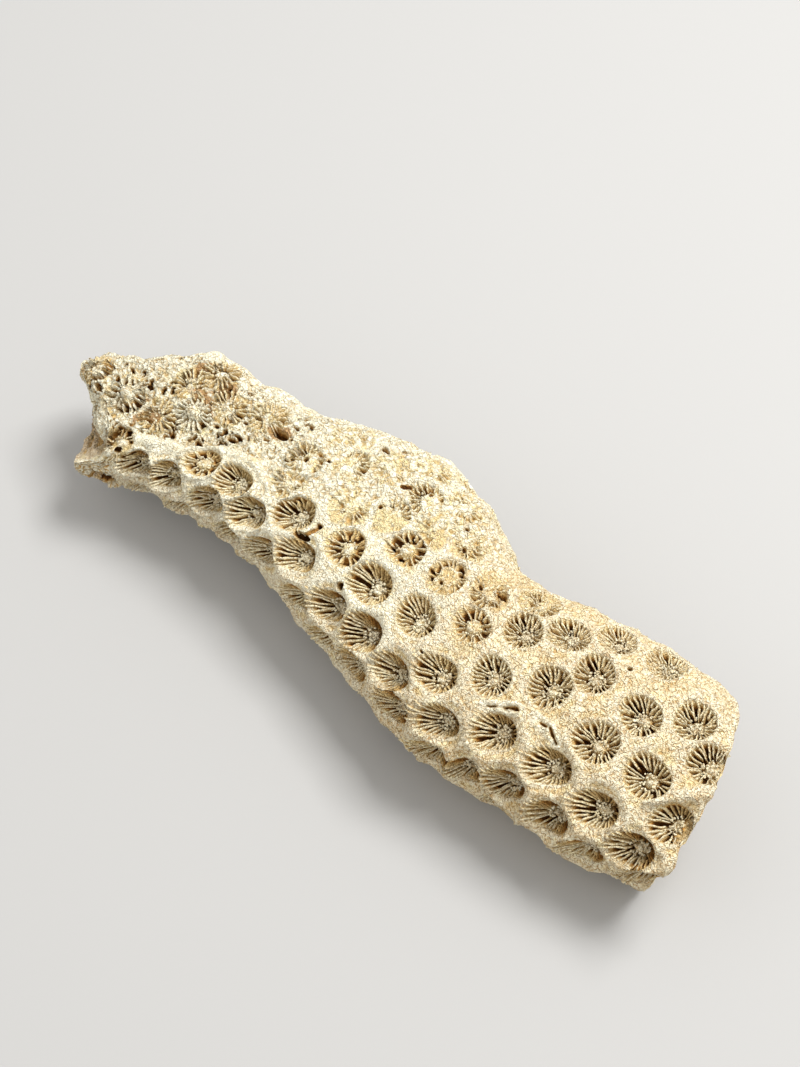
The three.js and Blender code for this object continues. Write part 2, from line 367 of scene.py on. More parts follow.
def inCup(cell, u, v):
    # the blades run straight from their meeting point, which stands off towards the base
    su, sv = shiftU[cell], shiftV[cell]
    a, b = u - su, v - sv
    along, rest = su * a + sv * b, 1 - su ** 2 - sv ** 2
    t = (along + np.sqrt(along ** 2 + rest * (a * a + b * b))) / rest
    turn = np.arctan2(v - sv * (1 - t), u - su * (1 - t))
    return turn, t / outline(cell, turn)


def collarAt(cell, t):  # the raised lip round a pit
    return lips[cell] * np.exp(-((t - 1.15) / 0.12) ** 2)


def fallIn(cell, turn, t, crest):  # the ground sinks towards a cup, steeply on the base side
    steep = 2.1 + 1.2 * np.cos(turn) * flank[cell]
    return fallIns[cell] * held(1 - crest ** steep - 0.05) - collarAt(cell, t)


def pitDepth(cell, turn, t):
    tipSide = held(-np.cos(turn)) * (0.4 + 0.6 * flank[cell])
    start, end = wallStarts[cell] - 0.2 * tipSide, wallEnds[cell] + 0.3 * tipSide
    wall = 1 - smooth((t - start) / (end - start))
    size, fade = cups["boss"]
    boss = middleHeights[cell] * (1 - smooth((t * radii[cell] - size) / fade))
    filled = held(np.cos(turn - cups["fillTurn"])) * fills[cell]
    return wall * (pitDepths[cell] * (1 - cups["filled"] * filled) - boss)


# the worn upper face: zones, borings, the crack
wear = {
    # along, across, half length, half width, depth, and for some their heading in degrees
    "borings": [
        (-8.1, 6.0, 1.25, 0.45, 1.5, -12), (-6.8, 3.9, 0.38, 0.3, 0.9, 30),
        (-0.8, 7.8, 0.45, 0.45, 1.2), (-6.2, -8.7, 0.75, 0.32, 1.1, 30),
        (-4.2, -10.5, 0.42, 0.4, 1.1, 40), (2.0, -7.7, 0.42, 0.28, 0.8, 60),
        (-1, -6.1, 0.75, 0.4, 0.45, -40), (2.0, 0.2, 0.42, 0.36, 0.8), (3.5, 0.4, 0.4, 0.25, 0.7, -30),
        (3.2, -2.4, 0.35, 0.3, 0.8), (7.5, -1.8, 0.35, 0.28, 0.6), (8.0, -1.2, 0.3, 0.25, 0.6),
        (9.2, -1.9, 0.22, 0.22, 0.5), (10.5, -4.8, 0.45, 0.35, 0.7, 60), (16, -7.6, 0.4, 0.32, 0.6),
        (13.2, -6.2, 0.35, 0.22, 0.5), (9.0, -6.8, 0.32, 0.25, 0.5), (7.8, -8.8, 0.25, 0.22, 0.5),
        (-13, -2, 0.5, 0.38, 0.8, 60), (-14.8, -1.4, 0.3, 0.28, 0.7), (-10.5, -3.1, 0.28, 0.24, 0.5),
        (-2, -2.2, 0.28, 0.25, 0.5), (11.8, 4.5, 0.22, 0.2, 0.5), (32.2, -7.5, 0.33, 0.33, 0.9),
        (-18.2, -3.6, 1.3, 0.65, 1.4, 10), (-33.2, -1.6, 0.3, 0.6, 1.0), (-32.4, -1.8, 0.26, 0.6, 1.0),
        (-31.8, -2.9, 0.28, 0.65, 1.1, 25), (-32.2, 2.9, 0.35, 0.25, 0.8),
        (-29, 3.2, 0.5, 0.32, 1.0, 40), (-29.5, 3.9, 0.22, 0.32, 0.8),
        (-23.8, -0.3, 0.42, 0.32, 0.9, 20), (-25.2, -0.4, 0.36, 0.26, 0.8), (-22.5, 0.3, 0.5, 0.2, 0.7),
        (-25.8, 2.4, 0.5, 0.28, 0.8, 15), (-22.5, -2.6, 0.36, 0.26, 0.8), (-21.5, -3.8, 0.4, 0.32, 0.9),
        (-36.8, 3.4, 0.26, 0.2, 0.7), (-42.2, 0.3, 0.4, 0.3, 0.9), (-39.5, 0.5, 0.2, 0.36, 0.7),
        (-35, 7, 0.45, 0.42, 0.8),
    ],
    "boringLevel": 1.5,
    # places along and across with the half width there, the depth, the height of the lips
    "grooves": [
        {"line": [(21.0, 4.3, 0.04), (21.8, 4.0, 0.1), (22.4, 3.7, 0.06), (23.2, 3.4, 0.2),
                  (24.2, 3.0, 0.24), (24.6, 3.0, 0.14)], "depth": 0.6, "lips": 0.2},
        {"line": [(26.3, 2.6, 0.08), (27.0, 2.9, 0.2), (28.1, 2.9, 0.16)], "depth": 0.5, "lips": 0.18},
        {"line": [(28.5, 2.8, 0.12), (29.0, 3.2, 0.14), (29.9, 3.8, 0.04)], "depth": 0.5, "lips": 0.14},
        {"line": [(-8, 6, 0.3), (-7.2, 4.9, 0.25), (-6.6, 3.8, 0.25)], "depth": 0.4, "lips": 0.0},
    ],
    "ledge": {"line": [(39.8, 4.2, 0.05), (41.2, 2.7, 0.25), (42.2, 1.3, 0.35), (44.2, -0.6, 0.3)],
              "height": 0.75, "width": 0.5},
    "swellings": [(-21.5, -9.5, 2.0, 0.8)],     # along, across, radius, height
    # along, across, radius
    "stains": [
        (-28.8, -2.2, 1.9), (-26.8, -5.2, 1.6), (-31, -6, 1.3), (-33.5, 2, 1.3), (-18.5, -3.5, 1.5),
    ],
    "rubbedLine": ((-10, 1), (20, -13)),    # beyond this line the crest is rubbed down
    "rubbedAlong": (-17, 13),
    "brokenAlong": -13,
    "brokenFar": -11,
    # the near edge of the broken zone, a low ridge
    "brokenNear": [
        (-41, 5.2), (-36.5, 6.4), (-31, 5.4), (-26.5, 4), (-23, 1.6), (-18, 1.3), (-13.5, 3.2),
    ],
    "brokenRidge": 0.3,
    "upperFrom": 7,             # height above the floor where the wear begins
}


def zonesAt(along, across, height):
    upper = smooth((height - wear["upperFrom"]) / 3)
    tipwards = smooth((wear["brokenAlong"] - along) / 2.5)
    near = np.interp(along, *np.array(wear["brokenNear"]).T)
    broken = (tipwards * smooth((near - across) / 0.8)
              * smooth((across - wear["brokenFar"]) / 3) * upper)
    ridge = np.exp(-((across - near - 0.35) / 0.5) ** 2) * tipwards * upper
    (x0, a0), (x1, a1) = wear["rubbedLine"]
    line = a0 + (a1 - a0) * (along - x0) / (x1 - x0)
    start, end = wear["rubbedAlong"]
    rubbed = (smooth((line + 2 - across) / 2.5) * smooth((along - start) / 3)
              * smooth((end + 3 - along) / 6) * smooth((across + 16) / 4) * upper)
    return broken, rubbed, ridge


boringFrames = []
for along, across, halfLength, halfWidth, depth, *turned in wear["borings"]:
    one = cup(along, across, "open")
    heading = math.radians(sum(turned))
    c, s = math.cos(heading), math.sin(heading)
    long, wide = one["level"] * c - one["side"] * s, one["side"] * c + one["level"] * s
    boringFrames.append((one["middle"], long, wide, one["outward"], halfLength, halfWidth, depth))
ledgeLine = [(spotAt(along, across), half) for along, across, half in wear["ledge"]["line"]]
grooveLines = [[(spotAt(along, across), half) for along, across, half in groove["line"]]
               for groove in wear["grooves"]]
stainSpots = [(spotAt(along, across), radius) for along, across, radius in wear["stains"]]
swellingSpots = [(spotAt(along, across), *rest) for along, across, *rest in wear["swellings"]]


def grooveDistance(places, line):  # how far outside the groove's edge
    best = np.full(len(places), 99.0)
    for (a, halfA), (b, halfB) in zip(line, line[1:]):
        t = held((places - a) @ (b - a) / np.dot(b - a, b - a))
        away = np.linalg.norm(places - a - t[:, None] * (b - a), axis=1)
        best = np.minimum(best, away - halfA - (halfB - halfA) * t)
    return best


def boringReach(places):  # for each boring its depth, and 1 at its edge for each place
    for middle, long, wide, out, halfLength, halfWidth, depth in boringFrames:
        offset = places - middle
        yield depth, np.sqrt((offset @ long / halfLength) ** 2 + (offset @ wide / halfWidth) ** 2
                             + (offset @ out / wear["boringLevel"]) ** 2)


def boringDistance(places):
    best = np.full(len(places), 99.0)
    for depth, reach in boringReach(places):
        best = np.minimum(best, reach)
    return best


# the body's mesh, finer where there is more to show
meshing = {
    "plain": 0.42,
    "pit": 0.3,
    "rim": 0.26,
    "broken": 0.17,
    "rubbed": 0.25,
    "boring": 0.14,
    "groove": 0.15,
    "end": 0.26,
    "underside": 0.5,
    "rounds": 4,
}


def wantedEdge(points):
    places, along, across, end = points[:, :3], points[:, 3], points[:, 4], points[:, 5]
    cell, turn, t, crest = cellsAt(places)
    broken, rubbed, ridge = zonesAt(along, across, places[:, 2])
    wanted = np.full(len(points), meshing["plain"])
    reasons = [("pit", t < 1.15), ("rim", np.abs(t - 0.95) < 0.15), ("end", end > 0.02),
               ("rubbed", rubbed > 0.3), ("broken", broken > 0.3)]
    reasons += [("boring", boringDistance(places) < 1.7)]
    reasons += [("groove", grooveDistance(places, line) < 0.7) for line in grooveLines]
    for name, here in reasons + [("underside", places[:, 2] < 0.3)]:
        wanted[here] = meshing[name]
    return wanted


def refine(points, tris):
    wanted = wantedEdge(points)
    for turn in range(meshing["rounds"]):
        ends = np.stack([tris, np.roll(tris, -1, axis=1)], axis=-1)
        low, high = ends.min(axis=-1).astype(np.int64), ends.max(axis=-1)
        key, where = np.unique(low * len(points) + high, return_inverse=True)
        a, b = key // len(points), key % len(points)
        split = np.linalg.norm(points[a, :3] - points[b, :3], axis=1) > (wanted[a] + wanted[b]) / 2
        fresh = np.full(len(key), -1)
        fresh[split] = len(points) + np.arange(split.sum())
        added = (points[a[split]] + points[b[split]]) / 2
        points = np.concatenate([points, added])
        wanted = np.concatenate([wanted, wantedEdge(added)])
        cut = fresh[where].reshape(-1, 3)
        count = (cut >= 0).sum(axis=1)
        # one cut edge is turned to stand first, and with two cuts the whole edge stands first
        first = np.where(count == 2, np.argmin(cut, axis=1), 0)
        first = np.where(count == 1, np.argmax(cut >= 0, axis=1), first)
        turned = (np.arange(3) + first[:, None]) % 3
        tris = np.take_along_axis(tris, turned, axis=1)
        cut = np.take_along_axis(cut, turned, axis=1)
        (p, q, r), (k, m, n) = tris.T, cut.T
        patterns = (
            (0, [(p, q, r)]),
            (1, [(p, k, r), (k, q, r)]),
            (2, [(p, q, m), (p, m, n), (n, m, r)]),
            (3, [(p, k, n), (k, q, m), (n, m, r), (k, m, n)]),
        )
        tris = np.concatenate([np.stack(corners, axis=-1)[count == cuts]
                               for cuts, made in patterns for corners in made])
    return points, tris


# the body's shape, and what its surface shows
form = {
    "lumps": (5.5, 0.5),        # size and height
    "dents": (1.7, 0.16),
    "grit": (0.5, 0.07),
    "farLumps": (3.2, 0.5),     # along the broken tip's far edge
    "netSize": 0.85,
    "netBend": 0.9,
    "netDepth": 0.3,
    "netHoles": 0.7,
    "netOpen": 0.86,            # the share of the net's cells that aren't deep holes
    "brokenStep": 0.5,
    "brokenRoughness": 0.14,
    "rubbedRoughness": 0.14,
    "endRoughness": 0.8,
    "endStep": 0.2,
    "tubes": 3.4,
    "tubeDepth": 0.7,
    "tubeRibs": (96, 0.25),     # how many round the end, how high
    "jag": 0.35,
    "rounding": 14,
    "layerSpacing": 0.62,       # along the near prong of the tip
    "layerDepth": 0.26,
    "paintedCupShade": (0.3, 0.6),         # painted shade in the flank's cups, and how much more low down
    "dull": (0.75, 0.6),        # along the base, and down the flank
}


def noiseAt(places, size, octaves=1, seed=0.0):
    scaled = (places / size + seed).tolist()
    return np.array([noise.fractal(place, 1.0, 2.0, octaves) for place in scaled])


def netAt(places):  # distance in from the walls of a random net, and a number for each of its cells
    rows = []
    for place in places.tolist():
        distances, points = noise.voronoi(place)
        a, b, c = points[0]
        chance = math.sin(a * 127.1 + b * 311.7 + c * 74.7) * 43758.5 % 1
        rows.append((distances[1] - distances[0], chance))
    return np.array(rows).reshape(-1, 2).T


def groundAt(points):
    places, normals, along, across = points[:, :3], unit(points[:, 6:9]), points[:, 3], points[:, 4]
    height = noiseAt(places, form["lumps"][0], 2) * form["lumps"][1]
    height += noiseAt(places, form["dents"][0], 2, 9.0) * form["dents"][1]
    farEdge = smooth((-24 - along) / 6) * smooth((-2 - across) / 4) * smooth((places[:, 2] - 6) / 3)
    height += noiseAt(places, form["farLumps"][0], 2, 5.0) * form["farLumps"][1] * farEdge
    ground = places + normals * height[:, None]
    jag = smooth((np.abs(along - 3) - 34) / 7) * form["jag"]
    ground[:, 0] += noiseAt(places * (0, 1, 1), 2.2, 3, 3.0) * jag * np.sign(along)
    return ground


def endDrop(places, end, along):  # the snapped ends: cups cut along their length
    atEnd = np.flatnonzero(end > 0.01)
    drop = np.zeros(len(places))
    here = places[atEnd]
    ribCount, ribHeight = form["tubeRibs"]
    for tip in (True, False):
        mine = (along[atEnd] < 0) == tip
        spots = here[mine]
        local = spots[:, 1:] - spots[:, 1:].mean(axis=0)
        angle, reach = np.arctan2(local[:, 1], local[:, 0]), np.hypot(*local.T)
        polar = rowsOf(np.cos(angle) * form["tubes"], np.sin(angle) * form["tubes"], reach * 0.22)
        tube = smooth(netAt(polar)[0] / 0.3)
        rough = noiseAt(spots, 3.0, 4, 2.0) * form["endRoughness"]
        ribs = 0.5 + 0.5 * np.sin(angle * ribCount + 3 * noiseAt(spots, 2.0, 1, 8.0))
        drop[atEnd[mine]] = form["endStep"] + rough + tube * (form["tubeDepth"] - ribHeight * ribs)
    return drop * smooth(end * 3.5)


def carveEnds(ground, end, cell, fits):
    # where a cup is cut by a broken end, its pit goes on into the end's face
    here = np.flatnonzero(end > 0.001)
    mine = cell[here]
    offset = ground[here] - middles[mine]
    u, v, w = (dots(offset, axis[mine]) for axis in (levels, sides, outwards))
    lean = [dots(openings[mine], axis[mine]) for axis in (levels, sides, outwards)]
    below = np.zeros(len(here))
    for again in range(4):
        flatU, flatV = u + below * lean[0], v + below * lean[1]
        surface = np.einsum("ik,ik->i", cubic(flatU, flatV), fits[mine])
        below = np.clip((surface - w) / lean[2], 0, 6)
    t = np.hypot(flatU, flatV) / radii[mine]
    deeper = np.clip(pitDepth(mine, np.arctan2(flatV, flatU), t) - below, 0, 3)
    deeper = np.where((t < 1.2) & (below < 3), deeper, 0)
    moved = ground.copy()
    moved[here] -= openings[mine] * deeper[:, None]
    return moved


def paintedShadeAt(cell, turn, t):  # painted shade under the steep side of the flank's cups, more of it low down
    down = acrosses[cell]
    side = held(0.35 + 0.4 * smooth((down - 10) / 3) + np.cos(turn - 1)) * flank[cell]
    low = form["paintedCupShade"][0] + form["paintedCupShade"][1] * smooth((down - 7) / 4)
    return low * side * smooth((t - 0.3) / 0.3) * (1 - smooth((t - 0.9) / 0.15)) * ~looseKinds[cell]


def weatherAt(along, across):  # the base and the flank have dulled
    atBase, low = form["dull"]
    return held(atBase * smooth((along - 2) / 14) + low * smooth((across - 7) / 6))


def shapeBody(points, tris, fits):
    places, normals = points[:, :3], unit(points[:, 6:9])
    along, across, end = points[:, 3], points[:, 4], points[:, 5]
    broken, rubbed, ridge = zonesAt(along, across, places[:, 2])
    ground = groundAt(points)
    cell, turn, t, crest = cellsAt(ground)
    loose = looseKinds[cell]
    pit = pitDepth(cell, turn, t)
    uneven = noiseAt(ground, 0.9, 2, 4.0)
    filled = noiseAt(ground, 2.4, 2, 6.0)
    pit = np.where(loose, pit * np.clip(0.6 + 1.2 * uneven + 2.0 * filled, 0.05, 1.5), pit)
    pit = pit * (end < 0.001)
    face = smooth(end * 9)
    outside = 1 - face
    drop = fallIn(cell, turn, t, crest) * outside
    drop += noiseAt(ground, form["grit"][0], 2, 11.0) * form["grit"][1]
    drop -= rises[cell] * 0.85 * np.exp(-(t * radii[cell] / 0.9) ** 2)
    drop -= ridge * wear["brokenRidge"]
    for middle, radius, rise in swellingSpots:
        drop -= rise * np.exp(-(np.linalg.norm(ground - middle, axis=1) / radius) ** 2)
    prong = (smooth((-34.5 - along) / 3) * smooth((across - 6.5) / 1.2)
             * smooth((crest - 0.5) / 0.2) * outside)
    layers = 0.5 + 0.5 * np.sin(across * 6.28 / form["layerSpacing"] + 5 * uneven)
    drop += prong * layers * form["layerDepth"]

    # the netted break at the tip and the rubbed crest
    netted = np.flatnonzero(np.maximum(broken, rubbed) > 0.02)
    spots = ground[netted]
    bent = rowsOf(*[noiseAt(spots, 1.1, 2, seed) for seed in (21.0, 22.0, 23.0)])
    inner, chance = netAt((spots + form["netBend"] * bent) / form["netSize"])
    around = smooth((t[netted] - 0.75) / 0.3)
    inner = smooth(inner / 0.35)
    holes, chambers, bored, flakes, stained = np.zeros((5, len(places)))
    holes[netted] = inner * smooth((chance - form["netOpen"]) / 0.08) * broken[netted] * around
    chambers[netted] = inner * (0.3 + chance) * np.maximum(broken, 0.7 * rubbed)[netted] * around
    drop += chambers * form["netDepth"] - 0.1 * broken
    drop += holes * form["netHoles"] + broken * form["brokenStep"]
    drop += broken * form["brokenRoughness"] * noiseAt(ground, 0.6, 3, 1.0)
    drop += rubbed * form["rubbedRoughness"] * noiseAt(ground, 0.7, 3, 2.0)

    # borings, cracks and channels
    for depth, reach in boringReach(ground):
        here = 1 - smooth((reach + 0.25 * uneven - 0.72) / 0.36)
        drop += here * depth
        bored = np.maximum(bored, here)
    for line, groove in zip(grooveLines, wear["grooves"]):
        away = grooveDistance(ground, line) + 0.1 * noiseAt(ground, 0.8, 2, 7.0)
        split = 1 - smooth((away + 0.06) / 0.14)
        drop += split * groove["depth"]
        lip = np.exp(-((away - 0.32) / 0.26) ** 2)
        drop -= groove["lips"] * lip * (1 + 2 * uneven)
        flakes = np.maximum(flakes, lip * (groove["lips"] > 0))
        bored = np.maximum(bored, 0.6 * split)
    ledge = wear["ledge"]
    away = grooveDistance(ground, ledgeLine) + 0.3 * uneven
    drop -= ledge["height"] * np.exp(-(np.maximum(away, 0) / ledge["width"]) ** 2) * outside

    ends = endDrop(ground, end, along)
    unpitted = ground - normals * (drop + ends)[:, None]
    shaped = unpitted - openings[cell] * pit[:, None]
    shaped = carveEnds(shaped, end, cell, fits)
    furthest = np.maximum(baseFace(shaped[:, 1], shaped[:, 2]), unpitted[:, 0])
    shaped[:, 0] = np.minimum(shaped[:, 0], furthest)
    fromEnd = np.minimum(along - tipX, baseX - along)
    edge = np.where(end > 0.001, 1 - smooth(end * 8), smooth((0.5 - fromEnd) / 0.5))
    eased = shaped + easing(shaped, tris, form["rounding"])
    shaped += (eased - shaped) * edge[:, None]
    shaped[:, 2] = np.maximum(shaped[:, 2], 0)
    resting = smooth((0.35 - places[:, 2]) / 0.3)
    shaped = shaped * (1 - resting)[:, None] + places * resting[:, None]

    # what the stone shows: painted shade with brown staining in the hollows, chalky on the crests,
    # stained and dulled in places
    # pits, holes, borings, the prong's layers and the ends' tubes darken with depth: painted shade, with
    # brown staining
    slots = smooth((pit - 0.25) / 0.9) * (0.25 + 0.75 * smooth((t * radii[cell] - 0.75) / 0.4))
    for middle, radius in stainSpots:
        away = np.linalg.norm(ground - middle, axis=1) + 1.5 * noiseAt(ground, 1.6, 2, 3.5)
        stained = np.maximum(stained, 1 - smooth((away - radius * 0.5) / (radius * 0.7)))
    shadeAndStain = slots * (1 - 0.4 * loose) + held(holes + bored) + 0.15 * chambers + paintedShadeAt(cell, turn, t)
    shadeAndStain += 0.5 * prong * smooth((layers - 0.5) / 0.4)
    shadeAndStain = (shadeAndStain + 0.25 * face * smooth((ends - 0.5) / 0.5)) * (1 - resting)
    chalkAndHighlight = smooth((crest - 0.75) / 0.25) * (0.9 - 0.4 * smooth((along - 8) / 8))
    chalkAndHighlight = chalkAndHighlight + 2.5 * collarAt(cell, t) + 0.6 * ridge + 1.3 * flakes + rises[cell] * (t < 0.7)
    chalkAndHighlight = chalkAndHighlight + 0.8 * smooth((-39.5 - places[:, 0]) / 3) * outside + prong * (layers < 0.5)
    chalkAndHighlight = chalkAndHighlight + 0.75 * (rubbed + broken) * (1 - chambers) * (uneven < 0.1)
    return shaped, unpitted, {
        "shadeAndStain": shadeAndStain,
        "stain": held(stained + holes * 0.3 + face * np.where(along < 0, 0.6, 0.15)),
        "weather": weatherAt(along, across) * (1 - 0.8 * held(flakes)),
        "chalkAndHighlight": held(chalkAndHighlight),
        "worn": held(rubbed + broken + 0.25 * (crest > 0.9) + 0.6 * loose * (t < 1.1)),
        "ray": rowsOf(np.cos(turn) * t, np.sin(turn) * t, smooth((0.93 - crest) / 0.1) * outside),
    }


def easing(places, tris, rounds):  # the way from each point to its smoothed surroundings
    ends = np.concatenate([tris[:, [0, 1]], tris[:, [1, 2]], tris[:, [2, 0]]])
    count = np.bincount(ends[:, 0], minlength=len(places))[:, None]
    eased = places.copy()
    for turn in range(rounds):
        sums = [np.bincount(ends[:, 0], weights=eased[ends[:, 1], axis], minlength=len(places))
                for axis in range(3)]
        eased = np.stack(sums, axis=-1) / count
    return eased - places


# the blades (septa) in each cup, and the grains in its middle
blades = {
    "from": -40.2,              # none at the tip's very end
    "reach": (1.2, 0.35),       # how far out over the wall they run, in radii, and how much more tipwards
    "stops": (0.36, 0.55),      # where the long and the short ones stop
    "missing": 0.1,             # the share of a worn cup's blades that are gone
    "stations": 9,
    "topAt": (0.1, 0.35, 0.6, 0.8, 0.95, 1.1, 1.4),
    "topHeight": (-0.42, -0.46, -0.38, -0.22, -0.04, 0.07, 0.03),
    "thickness": (0.15, 0.23),  # in the middle, at the wall
    "fullCount": 25,
    "share": 0.2,               # at most this part of their spacing, each side
    "teeth": 0.2,
    "bend": 0.35,
    "wave": 0.12,
    "lift": 0.02,
    "grainSpread": 1.1,
    "grainSize": (0.1, 0.18),
    "grainShift": 0.3,          # towards the filled side
}


def cubic(u, v):
    return np.stack([u * 0 + 1, u, v, u * u, u * v, v * v, u**3, u * u * v, u * v * v, v**3], axis=-1)


def fitGround(ground):
    # a cubic through the ground about each cup, so that the blades stand on it
    fits = []
    reach = treeOf(ground)
    for number, one in enumerate(placed):
        near = [found[1] for found in reach.find_range(one["middle"], radii[number] * 1.5)]
        offset = ground[near] - one["middle"]
        u, v, w = offset @ one["level"], offset @ one["side"], offset @ one["outward"]
        fits.append(np.linalg.lstsq(cubic(u, v), w, rcond=None)[0])
    return np.array(fits)


def onGround(fits, cell, u, v):
    w = np.einsum("...k,...k->...", cubic(u, v), fits[cell])
    place = middles[cell] + levels[cell] * u[..., None] + sides[cell] * v[..., None]
    return place + outwards[cell] * w[..., None]


def wallReach(cell, direction, angle):  # how far out, in radii, before a neighbour's ground begins
    reach = blades["reach"][0] + blades["reach"][1] * held(-np.cos(angle)) * flank[cell]
    for number in range(len(placed)):
        mine = np.flatnonzero(cell == number)
        away = middles - middles[number]
        gap = np.linalg.norm(away, axis=1)
        for other in np.flatnonzero((gap > 0) & (gap < 8)):
            facing = direction[mine] @ away[other]
            limit = gap[other] ** 2 / np.maximum(2 * facing, 0.1) / radii[number] * 0.97
            reach[mine] = np.minimum(reach[mine], limit)
    return np.maximum(reach, 0.8)


def drawBlades():
    rows = []
    for number, one in enumerate(placed):
        count = bladeCounts[number] if one["along"] > blades["from"] else 0
        loose = one["kind"] not in ("open", "knob")
        for k in range(count):
            if loose and dice.random() < blades["missing"]:
                continue
            long = k % 2 == 0
            angle = k + dice.uniform(-0.22, 0.22) * (1.6 if loose else 1)
            angle = angle * 2 * math.pi / count + phases[number]
            stop = blades["stops"][0 if long else 1] * dice.uniform(0.8, 1.25)
            bend = dice.uniform(-1, 1) * blades["bend"] + (0 if long else dice.choice((-0.12, 0.12)))
            rows.append((number, angle, stop, bend, dice.uniform(0, 50), dice.uniform(0.85, 1.2)))
    return np.array([row[0] for row in rows]), np.array([row[1:] for row in rows]).T


def makeBlades(fits):
    cell, (angle, stop, bend, seed, weight) = drawBlades()
    direction = levels[cell] * np.cos(angle)[:, None] + sides[cell] * np.sin(angle)[:, None]
    reach = wallReach(cell, direction, angle)
    s = np.linspace(0, 1, blades["stations"])
    t = stop[:, None] + (reach - stop)[:, None] * s
    theta = angle[:, None] + bend[:, None] * (1 - held(t)) ** 1.6

    def uneven(pace, octaves):
        own = np.broadcast_to(seed[:, None] * (pace / 3), t.shape)
        return noiseAt(rowsOf(t * pace, own, theta), 1.0, octaves).reshape(t.shape)

    theta = theta + blades["wave"] * uneven(3, 2) * (t < 1)
    cells = np.broadcast_to(cell[:, None], t.shape)
    r = t * radii[cells] * outline(cells, theta)
    meetU, meetV = shiftU[cells] * radii[cells], shiftV[cells] * radii[cells]
    u = r * np.cos(theta) + meetU * (1 - t)
    v = r * np.sin(theta) + meetV * (1 - t)
    place = onGround(fits, cells, u, v)
    crest = cellsAt(place.reshape(-1, 3))[3].reshape(t.shape)
    place = place - outwards[cells] * fallIn(cells, theta, t, crest)[..., None]
    bored = boringDistance(place.reshape(-1, 3)).reshape(t.shape)
    top = np.interp(t, blades["topAt"], blades["topHeight"]) * slopes[cells]
    top = top + rises[cells] * np.exp(-(r / 0.95) ** 2)
    top = top - 3 * (1 - smooth((bored - 0.85) / 0.3))
    top = top + uneven(9, 1) * blades["teeth"] + blades["lift"]
    top[:, -1] -= 0.12
    top[:, 0] -= 0.1
    floor = np.minimum(-pitDepth(cells, theta, t) - 0.3, top - 0.15)
    across = np.stack([-np.sin(theta), np.cos(theta)], axis=-1)
    across = levels[cells] * across[..., :1] + sides[cells] * across[..., 1:]
    half = np.interp(t, (0.1, 1), blades["thickness"]) * weight[:, None] / 2
    apart = np.hypot(u - meetU, v - meetV) * 2 * math.pi / blades["fullCount"]
    half = np.minimum(half, apart * blades["share"])
    half[:, -1] *= 0.6
    shoulder = np.maximum(top - 0.13, floor)
    section = ((-1.25, floor), (-1.0, shoulder), (0.0, top), (1.0, shoulder), (1.25, floor))
    layers = [place + across * (side * half)[..., None] + openings[cells] * height[..., None]
              for side, height in section]
    grid = np.stack(layers, axis=2)     # blade, station, corner
    # painted shade in the flank's cups, carried onto the blades
    paintedCupShade = 0.9 * paintedShadeAt(cells, theta, t)
    # the blades darken down their sides into the slots: painted shade, with brown staining
    deepShadeAndStain = np.stack([np.clip((top - height) / 1.5 + paintedCupShade, 0, 0.85) for side, height in section], axis=2)
    count, stations, corners = grid.shape[:3]
    number = np.arange(count * stations * corners).reshape(count, stations, corners)
    a, b, c, d = number[:, :-1, :-1], number[:, 1:, :-1], number[:, 1:, 1:], number[:, :-1, 1:]
    tris = [rowsOf(a, d, b), rowsOf(b, d, c)]
    start, stop = number[:, 0], number[:, -1]
    for k in range(1, corners - 1):
        tris += [rowsOf(start[:, 0], start[:, k + 1], start[:, k]),
                 rowsOf(stop[:, 0], stop[:, k], stop[:, k + 1])]
    owner = np.repeat(cell, stations * corners)
    return grid.reshape(-1, 3), np.concatenate(tris), deepShadeAndStain.reshape(-1), owner


def grainBall():  # twelve corners and twenty faces
    golden = (1 + 5 ** 0.5) / 2
    ball = []
    for a, b in itertools.product((-1, 1), (-golden, golden)):
        ball += [(0, a, b), (a, b, 0), (b, 0, a)]
    ball = unit(np.array(ball, float))
    faces = []
    for i, j, k in itertools.combinations(range(12), 3):
        ij, ik = ball[j] - ball[i], ball[k] - ball[i]
        if max(np.linalg.norm(side) for side in (ij, ik, ik - ij)) < 1.1:
            faces.append((i, j, k) if np.dot(np.cross(ij, ik), ball[i]) > 0 else (i, k, j))
    return ball, np.array(faces)


def makeGrains(fits):
    ball, faces = grainBall()
    spots = []
    for number, count in enumerate(grainCounts):
        for k in range(count):
            away, angle = blades["grainSpread"] * math.sqrt(dice.random()), dice.uniform(0, 6.28)
            spots.append((number, away * math.cos(angle), away * math.sin(angle),
                          dice.uniform(*blades["grainSize"]), dice.uniform(-0.08, 0.08)))
    cell = np.array([spot[0] for spot in spots])
    u, v, size, lift = np.array([spot[1:] for spot in spots]).T
    height = blades["topHeight"][0] * slopes[cell] + rises[cell] * np.exp(-(u * u + v * v) / 0.8) + lift
    height -= 0.12 * (u * u + v * v)
    t = np.hypot(u, v) / radii[cell]
    turn = np.arctan2(v, u)
    moved = blades["grainShift"] * fills[cell]
    u = u + shiftU[cell] * radii[cell] * (1 - t) + moved * math.cos(cups["fillTurn"])
    v = v + shiftV[cell] * radii[cell] * (1 - t) + moved * math.sin(cups["fillTurn"])
    crest = held(np.hypot(u, v) / byPlace(middles[cell][:, 0], cups["gap"]) * 2)
    place = onGround(fits, cell, u, v) - outwards[cell] * fallIn(cell, turn, t, crest)[:, None]
    place = place + openings[cell] * (height - 3 * (boringDistance(place) < 1))[:, None]
    points = place[:, None, :] + ball[None] * size[:, None, None]
    tris = faces[None] + (np.arange(len(spots)) * 12)[:, None, None]
    return points.reshape(-1, 3), tris.reshape(-1, 3), np.zeros(len(spots) * 12), np.repeat(cell, 12)


